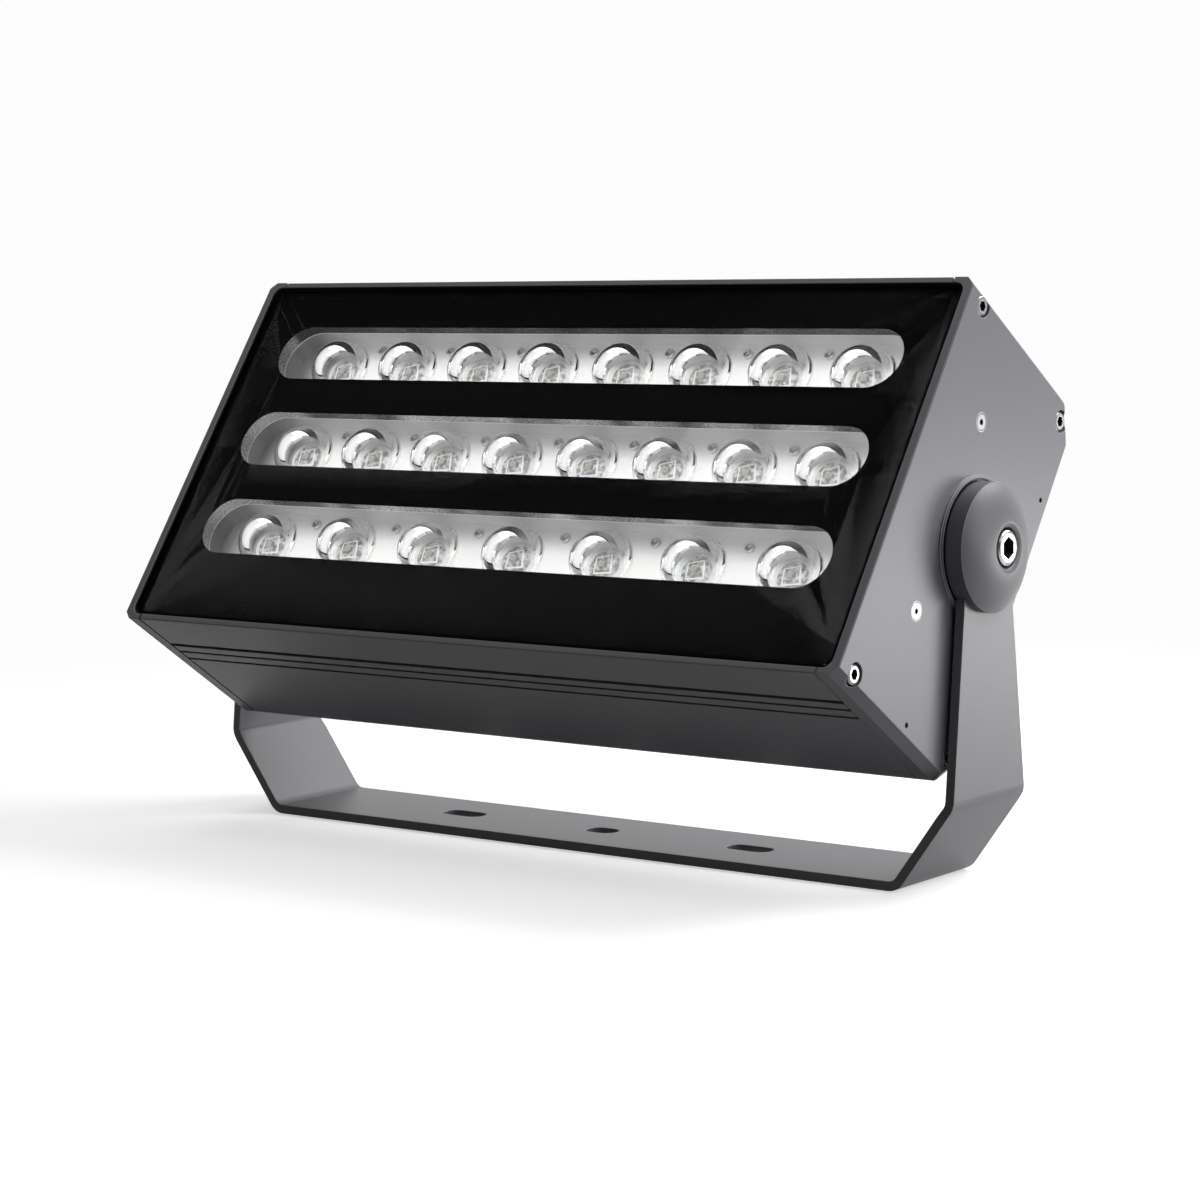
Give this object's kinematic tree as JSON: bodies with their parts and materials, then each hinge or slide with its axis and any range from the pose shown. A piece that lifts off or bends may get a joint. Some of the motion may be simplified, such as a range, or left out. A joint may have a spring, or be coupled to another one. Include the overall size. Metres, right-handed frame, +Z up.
{
  "type": "wall washer light",
  "caption": "Box-shaped outdoor wall washer with rows of dome lenses behind a black-bordered glass, tilting in a U-shaped bracket.",
  "frame": {"origin": "middle of the bracket's base, on its underside, between the two fixing slots", "axes": "+X along the housing's length, +Y from the glass side towards the back, +Z up from the bracket's base"},
  "size_m": [0.5186, 0.2244, 0.3084],
  "materials": {
    "bracket_coating": "satin",
    "housing_coating": "satin",
    "steel": "satin",
    "plated_steel": "satin",
    "rubber": "matte",
    "black_plastic": "matte",
    "glass": "gloss",
    "black_print": "gloss",
    "white_trough": "satin",
    "white_board": "satin",
    "yellow_chip": "gloss",
    "driver_case": "matte",
    "terminal_plastic": "matte",
    "wire_insulation": "matte"
  },
  "bodies": {
    "bracket": {"bracket": "bracket_coating", "tilt_hub_left": "housing_coating", "tilt_hub_right": "housing_coating", "friction_disc_left": "black_plastic", "friction_disc_right": "black_plastic"},
    "housing": {"board_leads": "wire_insulation", "board_screws": "steel", "driver_leads": "wire_insulation", "driver_screws": "steel", "driver_tray": "steel", "end_gasket_left": "rubber", "end_gasket_right": "rubber", "end_plate_left": "housing_coating", "end_plate_right": "housing_coating", "end_plate_screws_left": "steel", "end_plate_screws_right": "steel", "front_glass": "glass", "gland_body": "black_plastic", "gland_cap": "black_plastic", "gland_nut": "black_plastic", "gland_seal": "rubber", "glass_print": "black_print", "glass_seal": "rubber", "housing_profile": "housing_coating", "led_board_bottom": "white_board", "led_board_middle": "white_board", "led_board_top": "white_board", "led_chips_bottom": "yellow_chip", "led_chips_middle": "yellow_chip", "led_chips_top": "yellow_chip", "led_driver": "driver_case", "lens_trough_bottom": "white_trough", "lens_trough_middle": "white_trough", "lens_trough_top": "white_trough", "lenses_bottom": "glass", "lenses_middle": "glass", "lenses_top": "glass", "pivot_plate_left": "plated_steel", "pivot_plate_right": "plated_steel", "pivot_plate_screws_left": "steel", "pivot_plate_screws_right": "steel", "terminal_block": "terminal_plastic", "tray_screws": "steel", "vent_nut": "black_plastic", "vent_plug": "black_plastic"},
    "tilt_screw_left": {"tilt_screw_left": "steel"},
    "tilt_screw_right": {"tilt_screw_right": "steel"}
  },
  "joints": [
    {"name": "housing_tilt", "type": "hinge", "parent": "bracket", "child": "housing", "pos_m": [0, 0, 0.17343], "axis": [1, 0, 0], "range_deg": [-145, 50]},
    {"name": "tilt_screw_right_turn", "type": "hinge", "parent": "housing", "child": "tilt_screw_right", "pos_m": [0.24, 0, 0.17343], "axis": [1, 0, 0], "range_deg": [0, 180]},
    {"name": "tilt_screw_left_turn", "type": "hinge", "parent": "housing", "child": "tilt_screw_left", "pos_m": [-0.24, 0, 0.17343], "axis": [-1, 0, 0], "range_deg": [0, 180]}
  ]
}
